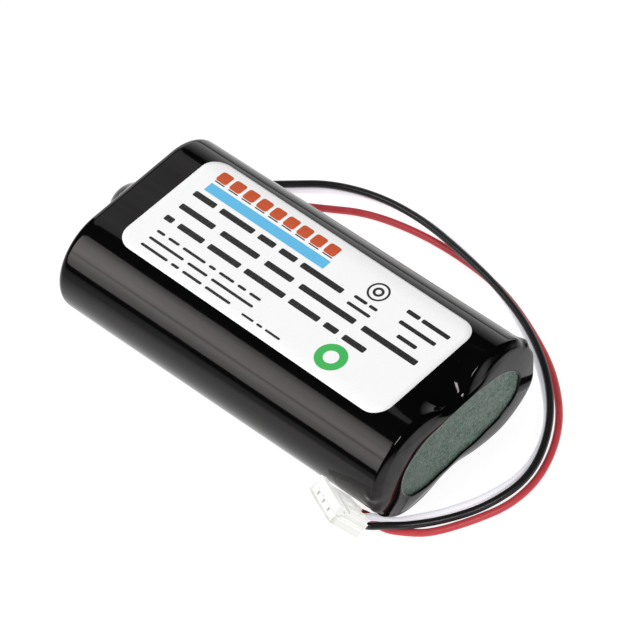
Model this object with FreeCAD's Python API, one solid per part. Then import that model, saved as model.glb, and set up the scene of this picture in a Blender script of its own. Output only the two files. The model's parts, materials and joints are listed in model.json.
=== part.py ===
"""Two-cell lithium-ion battery pack in shrink film, with a three-wire lead and its plug.

Frame: +X along the pack towards the series-link end, +Y across it, +Z up.
The origin is the centre of the pack's flat underside. Millimetres.
Each piece is one STEP file in parts/, named after its node.
"""
import FreeCAD, Part
import math
import os
from FreeCAD import Placement, Rotation, Vector

# ---------------------------------------------------------------- driving dimensions
PACK_LENGTH = 69.5
PACK_WIDTH = 37.6
PACK_HEIGHT = 19.1
FILM = 0.25                      # wall of the shrink film on the sides
LIP = 0.30                       # the film where it folds over the ends
END_ROUND = 1.7                  # outer radius of the film's end edges
CLEAR = 0.02                     # gap left between two pieces that only rest on each other

FILM_R = PACK_HEIGHT / 2         # outer radius of the film round a cell
AXIS_Y = PACK_WIDTH / 2 - FILM_R
AXIS_Z = PACK_HEIGHT / 2
HALF_LENGTH = PACK_LENGTH / 2

# How far the film draws in between the cells at the series-link end.
TAPER_LENGTH = 3.55
TOP_DIP = 2.8
BOTTOM_DIP = 0.8

# Cells, measured along the cell's own axis from its flat negative end.
CELL_LENGTH = 65.0
CAN_R = 9.1
CAN_WALL = 0.25
CAN_INNER_R = CAN_R - CAN_WALL
CAN_TOP = 64.0
CAN_CORNER = 0.7
MOUTH_R = 6.9
JACKET_WALL = 0.1
JACKET_START = 0.8
JACKET_FOLD_R = 7.9              # where the wrap ends on the cell's top
GROOVE_X = 60.0
GROOVE_WIDTH = 1.0
GROOVE_DEPTH = 0.8
GROOVE_END = GROOVE_X + GROOVE_WIDTH
GROOVE_BEND = 0.35
WASHER = 0.26
ROLL_START = 1.0
ROLL_END = 58.4
ROLL_BORE_R = 1.6
DISC = 0.25                      # insulating discs below and above the roll
LOW_DISC_X = 0.5
HIGH_DISC_X = 58.7
SEAT_X = GROOVE_END + 0.55       # the gasket's seat on the groove
GASKET_LIP = 0.3
GASKET_R = 6.4
GASKET_ROLL_R = 7.05
VENT = 0.25
VENT_DISH_R = 5.2
CAP = 0.36
CAP_R = 7.6
CAP_BORE_R = 5.4
BUTTON_R = 4.2
BUTTON_WALL = 0.35
CELL_X_HIGH = 33.9               # plane of both cells' ends at the series link
CELL_X_LOW = CELL_X_HIGH - CELL_LENGTH

# End pieces
STRIP = 0.15                     # nickel strip
STRIP_WIDTH = 8.0
STRIP_PAST_AXIS = 3.6
STRIP_CORNER = 1.0
STRIP_SLOT = 0.5                 # the slit between each cell's two spot welds
STRIP_SLOT_TOP = 0.5
STRIP_SLOT_LOW = 5.0
TAP = 0.12                       # the thin strip to the board
TAP_HALF = 0.5
TAP_RISE = 5.4                   # its height over the cells' axes
TAP_TOE = 2.0
BEADS = (-22.0, 8.0)             # where each bead of glue starts
BEAD_LENGTH = 14.0
BEAD_HALF = 2.4
BEAD_LOW = 0.9
BEAD_HIGH = 5.0
PAPER = 0.25
PAPER_R = 6.4
PAPER_TOP_WAIST = 14.8           # the paper's height between its two round ends
PAPER_BOTTOM_WAIST = 3.3
OPENING_R = 5.65                 # the film's opening at the series-link end
OPENING_HALF = 8.3
OPENING_Y = 1.0
OPENING_Z = 8.5
BACK_OPENING_R = 4.2             # the film's opening at the circuit-board end
BACK_OPENING_HALF = 8.5
BACK_OPENING_Z = 6.9
COVER_R = 8.0
COVER_EDGE = 2.2                 # the board cover's distance from the pack's top and bottom
WIRE_SLOT_R = 0.8

# Circuit board at the other end
BOARD_FACE = -33.0               # its outer face, which carries the components
BOARD = 0.8
BOARD_HALF_Y = 15.0
BOARD_LOW = 4.5
BOARD_HIGH = 14.5
BOARD_CORNER = 1.5
SHEET_MARGIN = 0.3               # how far the insulator stands out beyond the board
SHEET_SIDE = 0.4
SHEET_CORNER = 3.0
SHEET_GAP = 0.1
PAD_PITCH = 1.6
PAD_Y = -0.5
PAD_Z = 12.6
PAD_R = 0.68
JOINT_HEIGHT = 0.3
TAB_WIDTH = 3.0
TAB_ON_CELL = 3.5
TAB_RISE = 0.9                   # how far the tabs pass over the board's upper edge
TAB_DOWN = 1.3
TAB_JOINT = (2.6, 1.0)
TAP_JOINT = (0.9, 0.5)
TAP_DOWN = 0.9
CHIP = (1.6, 0.8, 0.45)          # across, up and out from the board
CHIP_PLACES = ((3.2, 9.6), (3.2, 7.8), (9.6, 9.4), (9.6, 7.6), (6.5, 6.4), (11.8, 8.6), (3.2, 6.0))
THERMISTOR = (0.8, 1.6, 0.5)
THERMISTOR_PLACE = (-12.6, 7.0)
IC = (2.9, 1.6, 0.95)
IC_PLACE = (6.5, 8.6)
MOSFET = (4.4, 3.0, 0.95)
MOSFET_PLACES = ((-8.2, 7.2), (-1.9, 7.2))

# Bulge of the film over the wires' bend
BULGE_R = 4.7
BULGE = Vector(-33.6, PAD_Y, 13.1)
BULGE_OPEN_Z = 11.0

# Label
LABEL_LENGTH = 57.0
LABEL_WIDTH = 23.7
LABEL_X = 0.45
LABEL_Y = 0.67
LABEL_TURN = -0.89               # degrees about Z
LABEL_CORNER = 3.2
LABEL_THICK = 0.08

# Wires and plug
WIRE_R = 0.625
CONDUCTOR_R = 0.24
PLUG_PITCH = 2.0
PLUG_LENGTH = 7.3
PLUG_WIDTH = 8.0
PLUG_HEIGHT = 2.6
PLUG_PLACE = Placement(Vector(26.35, -23.47, 7.23), Rotation(54.7, 52.1, -11.9))
CAVITY_Z = 1.45
CAVITY_HALF_WIDE = 0.68
CAVITY_HALF_HIGH = 0.72
SKIRT_HIGH = 1.3
SKIRT_STEP = 0.4                 # how far the skirts stand out from the body
FACE_DEEP = 1.0
FACE_HIGH = 1.8
FLANGE_TOP = 3.1
FLANGE_FRONT = -0.4
FLANGE_BACK = 0.9
FLANGE_IN = 0.15
FLANGE_CORNER = 0.5
VALLEY_FLOOR = 2.0
VALLEY_END = 1.8
SLOT_HALF = 0.28
SLOT_LOW = 0.45
SLOT_HIGH = 1.45
WINDOW_START = 3.2
WINDOW_END = 4.9
WINDOW_HALF = 0.5
RIB_START = 2.0
RIB_HALF = 0.22
RIB_HIGH = 0.3
TONGUE = (0.4, 1.4, 0.16, 0.6, 1.3)      # from, to, half width, low, high
SPRING_BOX = (1.3, 4.0, 0.58)
SPRING_WALL = 0.16
SPRING_LOW = 0.62
SPRING_HIGH = 0.55
NECK_END = 4.6
NECK_HALF = 0.45
NECK_TOP = 0.4
CRIMP_START = 4.5
CRIMP_END = 5.8
CRIMP_R = 0.6
BARE_START = 4.7

# Routes of the free wires, from the board's pads to the back of the plug.
ROUTES = {
    "wire_black": [
        (-33.3, 1.1, 12.6), (-36.2, 1.1, 12.6), (-36.6, 1.3, 9.8), (-37.1, 4.0, 7.9),
        (-37.7, 8.2, 6.2), (-37.2, 12.8, 4.6), (-34.8, 17.0, 3.3), (-30.9, 21.3, 2.4),
        (-25.4, 26.6, 1.95), (-20.2, 31.0, 1.95), (-12.1, 34.0, 1.95), (-2.8, 34.4, 2.3),
        (7.1, 32.5, 3.2), (17.3, 30.3, 3.4), (27.0, 26.7, 3.3), (35.2, 21.4, 2.4),
        (41.6, 13.9, 1.95), (45.2, 4.7, 1.9), (43.5, -3.7, 1.5), (39.9, -9.8, 1.1),
        (36.5, -14.9, 1.95), (34.0, -17.1, 2.15),
    ],
    "wire_white": [
        (-33.3, -0.5, 12.6), (-36.2, -0.5, 12.6), (-36.6, -0.4, 9.0), (-37.1, 3.0, 6.3),
        (-37.4, 8.2, 4.2), (-36.7, 13.2, 2.4), (-34.2, 17.8, 1.3), (-30.0, 21.9, 0.8),
        (-24.5, 27.0, 0.64), (-19.1, 31.3, 0.64), (-11.7, 34.6, 0.64), (-2.8, 35.3, 1.15),
        (6.7, 33.7, 2.1), (16.5, 31.0, 2.1), (25.7, 26.9, 1.95), (33.6, 21.8, 1.1),
        (40.3, 15.2, 0.64), (43.5, 6.1, 0.64), (41.9, -2.0, 0.64), (38.7, -8.4, 0.64),
        (35.9, -12.2, 0.64), (34.0, -14.9, 0.8), (31.9, -16.5, 2.2),
    ],
    "wire_red": [
        (-33.3, -2.1, 12.6), (-36.2, -2.1, 12.6), (-36.6, -2.0, 8.4), (-37.0, 1.8, 4.8),
        (-36.9, 7.4, 2.7), (-35.8, 12.8, 1.2), (-32.4, 17.4, 0.64), (-26.9, 21.7, 0.64),
        (-18.3, 26.9, 0.64), (-12.0, 30.8, 0.64), (-2.9, 32.9, 0.64), (6.1, 33.3, 0.64),
        (15.8, 32.3, 0.64), (25.1, 28.8, 0.64), (34.0, 24.0, 0.64), (41.5, 16.7, 0.64),
        (45.6, 7.6, 0.64), (45.8, -0.3, 0.64), (43.1, -6.9, 0.64), (39.9, -12.5, 0.64),
        (37.2, -14.8, 0.64), (33.4, -17.0, 0.64), (30.4, -16.2, 0.64),
    ],
}
# Where each wire enters the plug: its cavity, counted towards the pack.
CAVITY = {"wire_black": -1, "wire_white": 0, "wire_red": 1}
WIRE_IN_PLUG = 1.45
WIRE_BEHIND_PLUG = 1.0


def export(name, shape):
    shape.exportStep("parts/" + name + ".step")
    print("%-22s volume %9.2f mm3, %d solid(s), valid %s"
          % (name, shape.Volume, len(shape.Solids), shape.isValid()))


def box(x0, x1, y0, y1, z0, z1):
    return Part.makeBox(x1 - x0, y1 - y0, z1 - z0, Vector(x0, y0, z0))


def rod(radius, x0, x1, y, z):
    return Part.makeCylinder(radius, x1 - x0, Vector(x0, y, z), Vector(1, 0, 0))


def edges_along(shape, way):
    """The shape's straight edges that run along way."""
    nearly = 0.9
    return [edge for edge in shape.Edges if abs(edge.tangentAt(edge.FirstParameter).dot(way)) > nearly]


def together(shapes):
    """Separate solids that share one node."""
    return Part.makeCompound(shapes)


# ---------------------------------------------------------------- sections across the pack
def section(x, lobe_r, top_waist, bottom_waist):
    """Outline round both cells at x: two outer arcs, and a flat or hollow waist above and below."""
    flat = 1e-6
    half = {"top": top_waist - AXIS_Z, "bottom": AXIS_Z - bottom_waist}
    touch = {}
    hollow = {}
    for side, height in half.items():
        if lobe_r - height < flat:
            touch[side] = (AXIS_Y, lobe_r)
            hollow[side] = None
            continue
        waist_r = (AXIS_Y ** 2 + height ** 2 - lobe_r ** 2) / (2 * (lobe_r - height))
        reach = lobe_r + waist_r
        rise = height + waist_r
        touch[side] = (AXIS_Y - lobe_r * AXIS_Y / reach, lobe_r * rise / reach)
        hollow[side] = height
    top_y, top_z = touch["top"]
    low_y, low_z = touch["bottom"]

    def point(y, z):
        return Vector(x, y, AXIS_Z + z)

    def waist(side, start, end, sign):
        if hollow[side] is None:
            return Part.makeLine(start, end)
        return Part.Arc(start, point(0, sign * hollow[side]), end).toShape()

    right_top = point(top_y, top_z)
    right_low = point(low_y, -low_z)
    left_top = point(-top_y, top_z)
    left_low = point(-low_y, -low_z)
    edges = [
        Part.Arc(right_low, point(AXIS_Y + lobe_r, 0), right_top).toShape(),
        waist("top", right_top, left_top, 1),
        Part.Arc(left_top, point(-AXIS_Y - lobe_r, 0), left_low).toShape(),
        waist("bottom", left_low, right_low, -1),
    ]
    return Part.Wire(edges)


def slot_wire(x, radius, half, y, z):
    """A round-ended slot across the pack."""
    edges = [
        Part.Arc(Vector(x, y + half, z - radius), Vector(x, y + half + radius, z),
                 Vector(x, y + half, z + radius)).toShape(),
        Part.makeLine(Vector(x, y + half, z + radius), Vector(x, y - half, z + radius)),
        Part.Arc(Vector(x, y - half, z + radius), Vector(x, y - half - radius, z),
                 Vector(x, y - half, z - radius)).toShape(),
        Part.makeLine(Vector(x, y - half, z - radius), Vector(x, y + half, z - radius)),
    ]
    return Part.Wire(edges)


def prism(wire, length):
    return Part.Face(wire).extrude(Vector(length, 0, 0))


def envelope(inset):
    """The pack's outer shape, drawn in by inset, with the waist at the series-link end."""
    lobe_r = FILM_R - inset
    end_round = END_ROUND - inset
    centre_x = HALF_LENGTH - END_ROUND
    last_x = HALF_LENGTH - (LIP if inset else 0.0)
    last_angle = math.asin((last_x - centre_x) / end_round) if inset else math.pi / 2
    taper_x = centre_x - TAPER_LENGTH
    taper_steps = 3
    round_steps = 3

    def dipped(x, share, shrink):
        top = PACK_HEIGHT - inset - shrink - TOP_DIP * share
        low = inset + shrink + BOTTOM_DIP * share
        return section(x, lobe_r - shrink, top, low)

    front = []
    for step in range(taper_steps + 1):
        t = step / taper_steps
        front.append(dipped(taper_x + TAPER_LENGTH * t, t * t * (3 - 2 * t), 0.0))
    back = [section(-centre_x, lobe_r, PACK_HEIGHT - inset, inset)]
    for step in range(1, round_steps + 1):
        angle = last_angle * step / round_steps
        out = end_round * math.sin(angle)
        shrink = end_round * (1 - math.cos(angle))
        front.append(dipped(centre_x + out, 1.0, shrink))
        back.append(section(-centre_x - out, lobe_r - shrink,
                            PACK_HEIGHT - inset - shrink, inset + shrink))
    middle = prism(section(-centre_x, lobe_r, PACK_HEIGHT - inset, inset), centre_x + taper_x)
    front_end = Part.makeLoft(front, True, True)
    back_end = Part.makeLoft(back, True, True)
    return middle.fuse([front_end, back_end])


def shrink_sleeve():
    """The black film, open over the paper at both ends, with a bulge over the wires' bend."""
    sleeve = envelope(0.0).cut(envelope(FILM))
    through = 3 * LIP
    front_hole = prism(slot_wire(HALF_LENGTH - through, OPENING_R, OPENING_HALF, OPENING_Y, OPENING_Z),
                       2 * through)
    wide = 2 * BULGE_R
    behind = -HALF_LENGTH - wide
    back_hole = prism(slot_wire(behind, BACK_OPENING_R, BACK_OPENING_HALF, 0, BACK_OPENING_Z),
                      wide + through)
    outer = Part.makeSphere(BULGE_R, BULGE)
    inner = Part.makeSphere(BULGE_R - FILM, BULGE)
    lip_inside = -HALF_LENGTH + LIP
    bulge = outer.common(box(behind, lip_inside, -wide, wide, BULGE_OPEN_Z, PACK_HEIGHT))
    hollow = inner.common(box(behind, lip_inside + 5 * CLEAR, -wide, wide, 0, PACK_HEIGHT))
    sleeve = sleeve.fuse(bulge).cut(hollow)
    return sleeve.cut([front_hole, back_hole])


def label():
    """Printed label: a thin rounded rectangle that follows the top of the film."""
    half_x = LABEL_LENGTH / 2
    half_y = LABEL_WIDTH / 2
    blank = Part.makeBox(LABEL_LENGTH, LABEL_WIDTH, PACK_HEIGHT, Vector(-half_x, -half_y, AXIS_Z))
    blank = blank.makeFillet(LABEL_CORNER, edges_along(blank, Vector(0, 0, 1)))
    blank.Placement = Placement(Vector(LABEL_X, LABEL_Y, 0), Rotation(LABEL_TURN, 0, 0))
    skin_r = FILM_R + LABEL_THICK
    skin = prism(section(-HALF_LENGTH, skin_r, AXIS_Z + skin_r, AXIS_Z - skin_r), PACK_LENGTH)
    film = prism(section(-HALF_LENGTH, FILM_R, PACK_HEIGHT, 0.0), PACK_LENGTH)
    return blank.common(skin.cut(film))


def end_paper(x0):
    return prism(section(x0, PAPER_R, PAPER_TOP_WAIST, PAPER_BOTTOM_WAIST), PAPER)


def board_cover():
    """The paper over the circuit board, with a slot for the wires."""
    x0 = -HALF_LENGTH + LIP + CLEAR
    paper = prism(section(x0, COVER_R, PACK_HEIGHT - COVER_EDGE, COVER_EDGE), PAPER)
    half = PAD_PITCH + 5 * CLEAR
    return paper.cut(prism(slot_wire(x0 - PAPER, WIRE_SLOT_R, half, PAD_Y, PAD_Z), 3 * PAPER))


# ---------------------------------------------------------------- cells
def turned(profile):
    """A solid of revolution about X from (x, radius) corners."""
    points = [Vector(x, r, 0) for x, r in profile]
    face = Part.Face(Part.makePolygon(points + [points[0]]))
    return face.revolve(Vector(0, 0, 0), Vector(1, 0, 0), 360)


def can():
    """Drawn steel can with a rolled groove and a crimped mouth."""
    r = CAN_R
    wall = CAN_WALL
    bend = GROOVE_BEND
    low = r - GROOVE_DEPTH
    slack = 0.1
    outside = [(0, 0), (0, r - CAN_CORNER), (CAN_CORNER - 2 * wall, r - CAN_CORNER + 2 * wall),
               (CAN_CORNER, r), (GROOVE_X - bend, r), (GROOVE_X, low), (GROOVE_END, low),
               (GROOVE_END + bend, r), (CAN_TOP - bend, r), (CAN_TOP, r - bend), (CAN_TOP, MOUTH_R)]
    inside = [(CAN_TOP - wall, MOUTH_R), (CAN_TOP - wall, r - bend - slack),
              (CAN_TOP - bend - slack / 2, r - wall), (GROOVE_END + bend + 1.5 * slack, r - wall),
              (GROOVE_END + slack, low - wall), (GROOVE_X - slack, low - wall),
              (GROOVE_X - bend - 1.5 * slack, r - wall), (CAN_CORNER, r - wall),
              (wall, r - CAN_CORNER - slack), (wall, 0)]
    return turned(outside + inside)


def washer_shape(x0, thick, bore_r, outer_r):
    """A flat ring whose lower face is at x0."""
    return turned([(x0, bore_r), (x0, outer_r), (x0 + thick, outer_r), (x0 + thick, bore_r)])


def jacket():
    """The printed wrap round the can, folded a little way over its top."""
    touch = CAN_R + CLEAR / 4
    outer = CAN_R + JACKET_WALL
    fold_top = CAN_TOP + WASHER + 7 * CLEAR
    return turned([(JACKET_START, touch), (JACKET_START, outer), (fold_top, outer),
                   (fold_top, JACKET_FOLD_R), (fold_top - JACKET_WALL, JACKET_FOLD_R),
                   (fold_top - JACKET_WALL, touch)])


def gasket():
    """The seal between the can's mouth and the cap, rolled over the cap's rim."""
    roll_x = CAN_TOP - CAN_WALL - 0.2
    hold = CAP_R + 0.15
    return turned([(SEAT_X, GASKET_R), (SEAT_X, CAN_INNER_R - 0.05), (roll_x, CAN_INNER_R - 0.25),
                   (roll_x, GASKET_ROLL_R), (roll_x - 0.45, GASKET_ROLL_R), (roll_x - 0.45, hold),
                   (SEAT_X + GASKET_LIP, hold), (SEAT_X + GASKET_LIP, GASKET_R)])


def vent_disc():
    """The dished aluminium disc under the cap."""
    low = SEAT_X + GASKET_LIP + CLEAR
    dish = VENT / 2
    return turned([(low, 0), (low, CAP_R), (low + VENT, CAP_R), (low + VENT, VENT_DISH_R),
                   (low + dish, VENT_DISH_R - 0.2), (low + dish, 0)])


def positive_cap():
    """The cell's positive button and the rim it is crimped by."""
    low = SEAT_X + GASKET_LIP + VENT + 2 * CLEAR
    rim_top = low + CAP
    chamfer = 0.3
    inside = CELL_LENGTH - BUTTON_WALL
    return turned([(low, CAP_BORE_R), (low, CAP_R), (rim_top, CAP_R), (rim_top, BUTTON_R + 0.6),
                   (CELL_LENGTH - chamfer, BUTTON_R), (CELL_LENGTH, BUTTON_R - chamfer),
                   (CELL_LENGTH, 0), (inside, 0), (inside, BUTTON_R - chamfer - 0.2),
                   (rim_top + 0.05, BUTTON_R + 0.1)])


def cell_pieces():
    """Every piece of one cell, its negative end at x = 0 and its positive end at CELL_LENGTH."""
    discs = [
        washer_shape(LOW_DISC_X, DISC, ROLL_BORE_R - 0.4, CAN_INNER_R - 0.5),
        washer_shape(HIGH_DISC_X, DISC, ROLL_BORE_R + 0.4, CAN_INNER_R - 0.3),
    ]
    return {
        "can": can(),
        "jacket": jacket(),
        "washer": washer_shape(CAN_TOP + CLEAR, WASHER, BUTTON_R + 0.4, CAN_R - 0.1),
        "electrode_roll": washer_shape(ROLL_START, ROLL_END - ROLL_START, ROLL_BORE_R, CAN_INNER_R - 0.15),
        "gasket": gasket(),
        "vent_disc": vent_disc(),
        "positive_cap": positive_cap(),
        "insulating_discs": together(discs),
    }


def build_cells():
    ends = {
        "cell_a": Placement(Vector(CELL_X_LOW, -AXIS_Y, AXIS_Z), Rotation(0, 0, 0)),
        "cell_b": Placement(Vector(CELL_X_HIGH, AXIS_Y, AXIS_Z), Rotation(180, 0, 0)),
    }
    for cell, place in ends.items():
        for name, shape in cell_pieces().items():
            shape.Placement = place
            export(cell + "_" + name, shape)


# ---------------------------------------------------------------- strips and adhesive
def series_link():
    """Nickel strip that joins the two cells at the far end of the pack from the board."""
    half = AXIS_Y + STRIP_PAST_AXIS
    strip = box(CELL_X_HIGH, CELL_X_HIGH + STRIP, -half, half, AXIS_Z - STRIP_WIDTH / 2,
                AXIS_Z + STRIP_WIDTH / 2)
    strip = strip.makeFillet(STRIP_CORNER, edges_along(strip, Vector(1, 0, 0)))
    slots = [box(CELL_X_HIGH - STRIP, CELL_X_HIGH + 2 * STRIP, side * AXIS_Y - STRIP_SLOT / 2,
                 side * AXIS_Y + STRIP_SLOT / 2, AXIS_Z - STRIP_SLOT_LOW, AXIS_Z + STRIP_SLOT_TOP)
             for side in (-1, 1)]
    return strip.cut(slots)


def cell_tab(y):
    """Nickel tab from a cell's end, over the board's upper edge and down to its pad."""
    left = y - TAB_WIDTH / 2
    right = y + TAB_WIDTH / 2
    top = BOARD_HIGH + TAB_RISE
    outer = BOARD_FACE - JOINT_HEIGHT
    on_cell = box(CELL_X_LOW - STRIP, CELL_X_LOW, left, right, AXIS_Z - TAB_ON_CELL, top)
    across = box(outer - STRIP, CELL_X_LOW, left, right, top - STRIP, top)
    down = box(outer - STRIP, outer, left, right, BOARD_HIGH - TAB_DOWN, top)
    return on_cell.fuse([across, down]).removeSplitter()


def centre_tap():
    """Thin strip from the series link, along the groove between the cells, to the board."""
    low = AXIS_Z + TAP_RISE
    top = low + TAP
    front = CELL_X_HIGH + STRIP
    back = BOARD_FACE - JOINT_HEIGHT
    along = box(back - TAP, front + TAP, -TAP_HALF, TAP_HALF, low, top)
    toe = box(front, front + TAP, -TAP_HALF, TAP_HALF, AXIS_Z + TAP_TOE, top)
    down = box(back - TAP, back, -TAP_HALF, TAP_HALF, BOARD_HIGH - TAP_DOWN, top)
    return along.fuse([toe, down]).removeSplitter()


def cell_adhesive():
    """Two beads of glue in the lower groove between the cells."""
    beads = []
    round_cell = CAN_R + JACKET_WALL + CLEAR / 2
    for x0 in BEADS:
        x1 = x0 + BEAD_LENGTH
        bead = box(x0, x1, -BEAD_HALF, BEAD_HALF, BEAD_LOW, BEAD_HIGH)
        for side in (-1, 1):
            bead = bead.cut(rod(round_cell, x0 - 1, x1 + 1, side * AXIS_Y, AXIS_Z))
        beads.append(bead)
    return together(beads)


# ---------------------------------------------------------------- circuit board
def on_board(place, size):
    """A block on the board's outer face, centred at place."""
    y, z = place
    wide, high, tall = size
    return box(BOARD_FACE - tall, BOARD_FACE, y - wide / 2, y + wide / 2, z - high / 2, z + high / 2)


def solder_joints():
    joints = []
    for index in (-1, 0, 1):
        joints.append(rod(PAD_R, BOARD_FACE - JOINT_HEIGHT, BOARD_FACE, PAD_Y + index * PAD_PITCH, PAD_Z))
    for y in (-AXIS_Y, AXIS_Y):
        joints.append(on_board((y, BOARD_HIGH - 0.75), (*TAB_JOINT, JOINT_HEIGHT)))
    joints.append(on_board((0, BOARD_HIGH - 0.5), (*TAP_JOINT, JOINT_HEIGHT)))
    return together(joints)


def build_board():
    along = Vector(1, 0, 0)
    board = box(BOARD_FACE, BOARD_FACE + BOARD, -BOARD_HALF_Y, BOARD_HALF_Y, BOARD_LOW, BOARD_HIGH)
    export("circuit_board", board.makeFillet(BOARD_CORNER, edges_along(board, along)))
    sheet_x = CELL_X_LOW - STRIP - SHEET_GAP - PAPER
    half = BOARD_HALF_Y + SHEET_SIDE
    sheet = box(sheet_x, sheet_x + PAPER, -half, half, BOARD_LOW - SHEET_MARGIN, BOARD_HIGH + SHEET_MARGIN)
    export("board_insulator", sheet.makeFillet(SHEET_CORNER, edges_along(sheet, along)))
    export("protection_ic", on_board(IC_PLACE, IC))
    export("mosfets", together([on_board(place, MOSFET) for place in MOSFET_PLACES]))
    export("chip_parts", together([on_board(place, CHIP) for place in CHIP_PLACES]))
    export("thermistor", on_board(THERMISTOR_PLACE, THERMISTOR))
    export("solder_joints", solder_joints())
    export("negative_tab", cell_tab(-AXIS_Y))
    export("positive_tab", cell_tab(AXIS_Y))


# ---------------------------------------------------------------- wires
def rounded_path(points):
    """Straight runs joined by tangent arcs, and the arcs' radii."""
    share = 0.45                     # how much of the shorter run each arc takes
    edges = []
    start = points[0]
    radii = []
    for before, corner, after in zip(points, points[1:], points[2:]):
        into = corner - before
        out = after - corner
        turn = into.getAngle(out)
        cut = share * min(into.Length, out.Length)
        radius = cut / math.tan(turn / 2)
        radii.append(radius)
        first = corner - into.normalize() * cut
        last = corner + out.normalize() * cut
        centre_way = (last - corner) + (first - corner)
        centre_way.normalize()
        middle = corner + centre_way * (math.hypot(cut, radius) - radius)
        edges.append(Part.LineSegment(start, first).toShape())
        edges.append(Part.Arc(first, middle, last).toShape())
        start = last
    edges.append(Part.LineSegment(start, points[-1]).toShape())
    return Part.Wire(edges), radii


def plug_point(x, y, z):
    return PLUG_PLACE.multVec(Vector(x, y, z))


def wire(name):
    side = CAVITY[name] * PLUG_PITCH
    points = [Vector(*p) for p in ROUTES[name]]
    points.append(plug_point(PLUG_LENGTH + WIRE_BEHIND_PLUG, side, CAVITY_Z))
    points.append(plug_point(PLUG_LENGTH - WIRE_IN_PLUG, side, CAVITY_Z))
    path, radii = rounded_path(points)
    first = path.Edges[0]
    ring = Part.Wire(Part.makeCircle(WIRE_R, points[0], first.tangentAt(first.FirstParameter)))
    tube = path.makePipeShell([ring], True, False)
    drawn = math.pi * WIRE_R ** 2 * path.Length
    print("%s: length %.1f, volume %.2f against %.2f, radii %s" % (
        name, path.Length, tube.Volume, drawn, " ".join("%.1f" % r for r in radii)))
    return tube


# ---------------------------------------------------------------- plug
def plug_housing():
    """Three-way housing with a raised front flange, side skirts and a lance window over each way."""
    half = PLUG_WIDTH / 2
    inner = half - SKIRT_STEP
    body = box(0, PLUG_LENGTH, -inner, inner, 0, PLUG_HEIGHT)
    skirt = box(0, PLUG_LENGTH - SKIRT_STEP, -half, half, 0, SKIRT_HIGH)
    face = box(0, FACE_DEEP, -half, half, 0, FACE_HIGH)
    flange_half = half - FLANGE_IN
    flange = box(FLANGE_FRONT, FLANGE_BACK, -flange_half, flange_half, FACE_HIGH, FLANGE_TOP)
    upper = [edge for edge in edges_along(flange, Vector(1, 0, 0))
             if edge.CenterOfMass.z > FLANGE_TOP - FLANGE_CORNER]
    flange = flange.makeFillet(FLANGE_CORNER, upper)
    shape = body.fuse([skirt, face, flange])
    shape = shape.cut(box(FLANGE_BACK, VALLEY_END, -PLUG_WIDTH, PLUG_WIDTH, VALLEY_FLOOR, PLUG_WIDTH))
    for index in (-1, 0, 1):
        y = index * PLUG_PITCH
        ways = [
            box(-FACE_DEEP, 1.5 * FACE_DEEP, y - SLOT_HALF, y + SLOT_HALF, SLOT_LOW, SLOT_HIGH),
            box(FACE_DEEP, PLUG_LENGTH + 1, y - CAVITY_HALF_WIDE, y + CAVITY_HALF_WIDE,
                CAVITY_Z - CAVITY_HALF_HIGH, CAVITY_Z + CAVITY_HALF_HIGH),
            box(WINDOW_START, WINDOW_END, y - WINDOW_HALF, y + WINDOW_HALF, CAVITY_Z, PLUG_WIDTH),
        ]
        shape = shape.cut(ways)
    rib_low = PLUG_HEIGHT - RIB_HIGH / 3
    ribs = [box(RIB_START, PLUG_LENGTH - 0.5, y - RIB_HALF, y + RIB_HALF, rib_low, PLUG_HEIGHT + RIB_HIGH)
            for y in (-PLUG_PITCH / 2, PLUG_PITCH / 2)]
    return shape.fuse(ribs).removeSplitter()


def crimp_terminal(y):
    """Contact with its spring box, neck and crimp barrel round the bared conductor."""
    tip, tongue_end, tongue_half, tongue_low, tongue_high = TONGUE
    box_start, box_end, box_half = SPRING_BOX
    inner_half = box_half - SPRING_WALL
    tongue = box(tip, tongue_end, y - tongue_half, y + tongue_half, tongue_low, tongue_high)
    spring_box = box(box_start, box_end, y - box_half, y + box_half,
                     CAVITY_Z - SPRING_LOW, CAVITY_Z + SPRING_HIGH)
    hollow = box(box_start + 0.2, box_end + 0.2, y - inner_half, y + inner_half,
                 CAVITY_Z - SPRING_LOW + SPRING_WALL, CAVITY_Z + SPRING_HIGH - SPRING_WALL)
    neck = box(box_end - 0.1, NECK_END, y - NECK_HALF, y + NECK_HALF,
               CAVITY_Z - SPRING_LOW, CAVITY_Z - NECK_TOP)
    barrel = rod(CRIMP_R, CRIMP_START, CRIMP_END, y, CAVITY_Z)
    barrel = barrel.cut(rod(CONDUCTOR_R + CLEAR / 2, CRIMP_START - 1, CRIMP_END + 1, y, CAVITY_Z))
    return spring_box.cut(hollow).fuse([tongue, neck, barrel]).removeSplitter()


def conductor_end(y):
    """The bared end of a wire inside its crimp."""
    return rod(CONDUCTOR_R, BARE_START, CRIMP_END, y, CAVITY_Z)


def build_plug():
    housing = plug_housing()
    housing.Placement = PLUG_PLACE
    export("plug_housing", housing)
    ends = []
    for name, index in CAVITY.items():
        contact = crimp_terminal(index * PLUG_PITCH)
        contact.Placement = PLUG_PLACE
        export("terminal_" + name.split("_")[1], contact)
        bare = conductor_end(index * PLUG_PITCH)
        bare.Placement = PLUG_PLACE
        ends.append(bare)
    export("conductor_ends", together(ends))


def main():
    os.makedirs("parts", exist_ok=True)
    export("shrink_sleeve", shrink_sleeve())
    export("label", label())
    export("end_paper", end_paper(HALF_LENGTH - LIP - CLEAR - PAPER))
    export("board_cover", board_cover())
    build_cells()
    export("series_link", series_link())
    export("centre_tap", centre_tap())
    export("cell_adhesive", cell_adhesive())
    build_board()
    for name in ROUTES:
        export(name, wire(name))
    build_plug()


main()
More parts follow.
